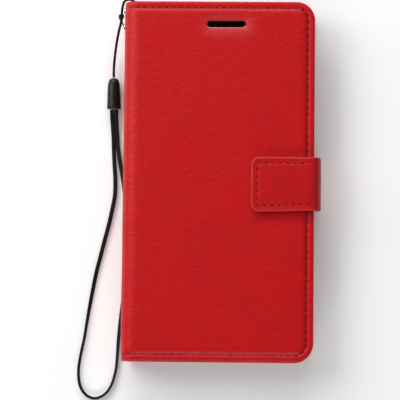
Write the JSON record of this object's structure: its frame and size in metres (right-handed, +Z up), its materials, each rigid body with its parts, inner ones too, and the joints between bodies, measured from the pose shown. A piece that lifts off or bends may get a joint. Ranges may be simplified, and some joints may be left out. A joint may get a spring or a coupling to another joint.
{
  "type": "phone wallet case",
  "caption": "Folding wallet case in red synthetic leather with an inner phone tray, card pockets, a magnetic closing strap, an earpiece slot and a wrist lanyard.",
  "frame": {"origin": "middle of the back cover's outer face, which lies on the table", "axes": "+Z up out of the front cover, +Y towards the head of the case, +X towards the free edge and the closing strap; the spine is at -X"},
  "size_m": [0.1119, 0.186, 0.0227],
  "materials": {
    "red_leather": "semi-gloss synthetic leather with a fine creased grain",
    "red_lining": "matt synthetic leather with a fine grain",
    "red_thread": "twisted polyester thread",
    "grey_board": "plain grey board",
    "white_foam": "thin sheet foam",
    "black_tray": "matt flexible plastic",
    "steel": "bright plated steel",
    "black_cord": "braided and twisted polyester cord",
    "black_plastic": "moulded, satin"
  },
  "bodies": {
    "back_cover": {"back_skin": "red_leather", "back_board": "grey_board", "back_lining": "red_lining", "back_stitching": "red_thread", "phone_tray": "black_tray", "strap_root": "red_leather"},
    "spine": {"spine_skin": "red_leather", "spine_stiffener": "grey_board", "spine_lining": "red_lining", "eyelet_upper": "steel", "eyelet_lower": "steel", "hitch_knot": "black_cord"},
    "front_cover": {"front_skin": "red_leather", "front_padding": "white_foam", "front_board": "grey_board", "keeper_plate": "steel", "front_lining": "red_lining", "front_stitching": "red_thread", "cash_pocket": "red_lining", "card_pocket_rear": "red_lining", "card_pocket_front": "red_lining", "pocket_stitching": "red_thread"},
    "strap_side": {"strap_side_outer": "red_leather", "strap_side_lining": "red_lining"},
    "strap_tab": {"strap_tab_shell": "red_leather", "strap_tab_lining": "red_lining", "strap_magnet": "steel", "strap_stitching": "red_thread"},
    "ring": {"lanyard_ring": "steel"},
    "lanyard": {"string": "black_cord", "ferrule": "black_plastic", "wrist_loop": "black_cord"}
  },
  "joints": [
    {"name": "spine_fold", "type": "hinge", "parent": "back_cover", "child": "spine", "pos_m": [-0.0436, 0, 0.0004], "axis": [0, -1, 0], "range_deg": [0, 90], "deforming": ["string"]},
    {"name": "cover_fold", "type": "hinge", "parent": "spine", "child": "front_cover", "pos_m": [-0.0436, 0, 0.0195], "axis": [0, -1, 0], "range_deg": [0, 90]},
    {"name": "strap_lift", "type": "hinge", "parent": "back_cover", "child": "strap_side", "pos_m": [0.0444, -0.0016, 0.0028], "axis": [0, 1, 0], "range_deg": [0, 90]},
    {"name": "strap_tab_fold", "type": "hinge", "parent": "strap_side", "child": "strap_tab", "pos_m": [0.0444, -0.0016, 0.0202], "axis": [0, 1, 0], "range_deg": [0, 90]},
    {"name": "ring_turn", "type": "hinge", "parent": "spine", "child": "ring", "pos_m": [-0.0416, 0.0755, 0.01], "axis": [0, 0, 1], "continuous": true},
    {"name": "lanyard_swing", "type": "hinge", "parent": "spine", "child": "lanyard", "pos_m": [-0.0459, 0.076, 0.0085], "axis": [0.7071, 0, -0.7071], "range_deg": [0, 180], "deforming": ["string"]}
  ],
  "couplings": [
    {"joint": "lanyard_swing", "follows": "spine_fold", "ratio": 2}
  ]
}
